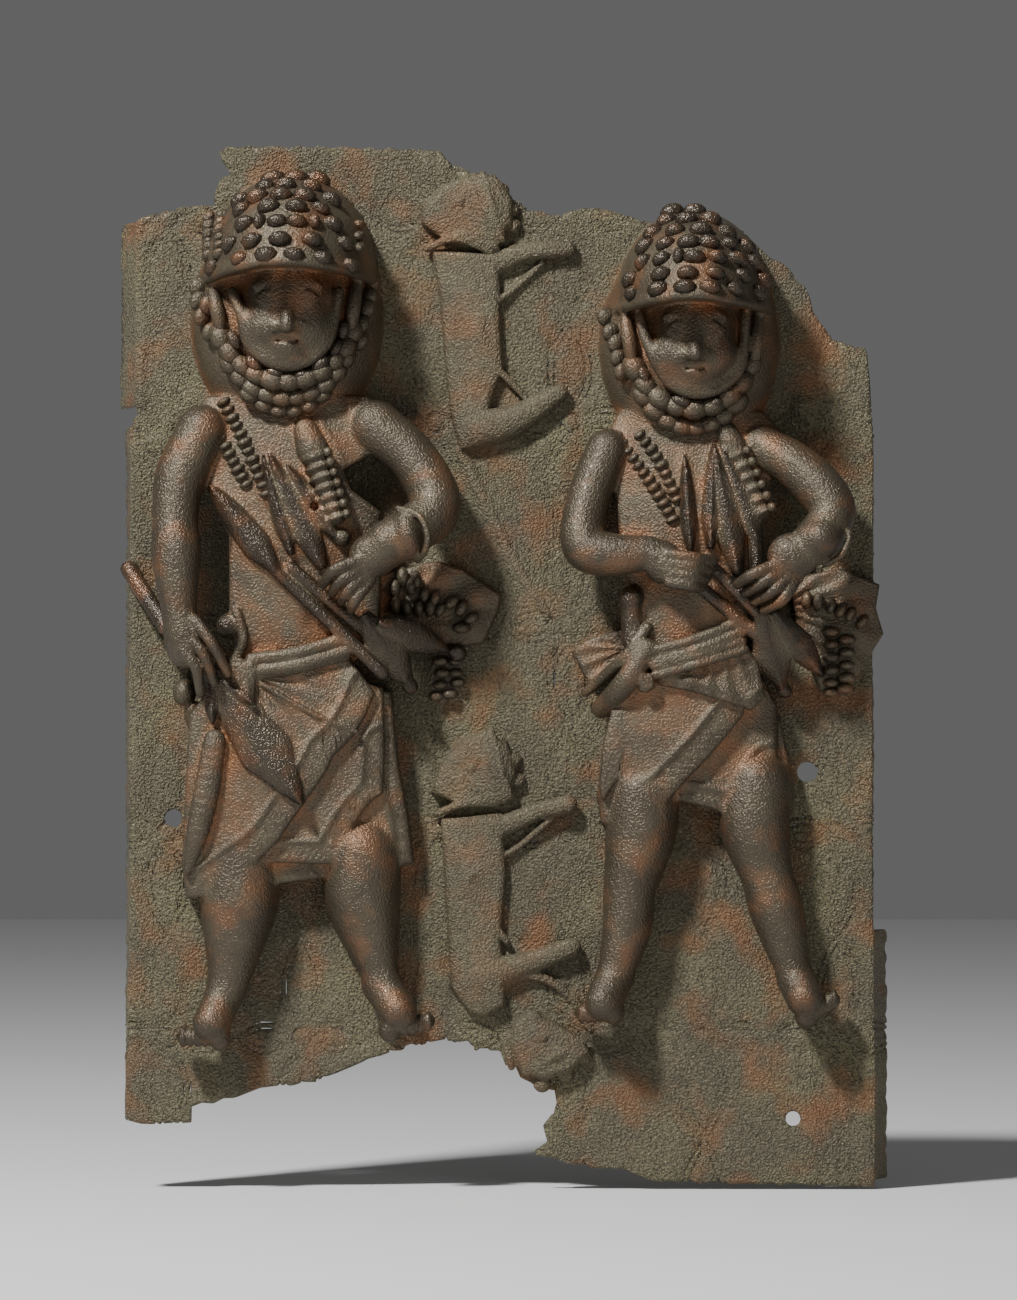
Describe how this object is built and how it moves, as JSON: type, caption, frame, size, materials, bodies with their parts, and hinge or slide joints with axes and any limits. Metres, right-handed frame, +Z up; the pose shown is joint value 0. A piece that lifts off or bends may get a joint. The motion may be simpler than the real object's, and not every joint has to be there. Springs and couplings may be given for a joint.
{
  "type": "relief plaque",
  "caption": "Broken rectangular wall plaque cast in one piece, with helmeted warriors in high relief, trussed animals between them and side flanges folded back.",
  "frame": {"origin": "on the plate's flat back, at the middle of its width and height", "axes": "+Z up the wall, +Y from the plate into the wall, +X to the right as seen from the front"},
  "size_m": [0.3928, 0.0911, 0.5317],
  "materials": {
    "brass": "aged cast brass, brown to olive patina with orange-red corrosion in the recesses"
  },
  "bodies": {
    "root": {"plaque": "brass"}
  },
  "joints": []
}
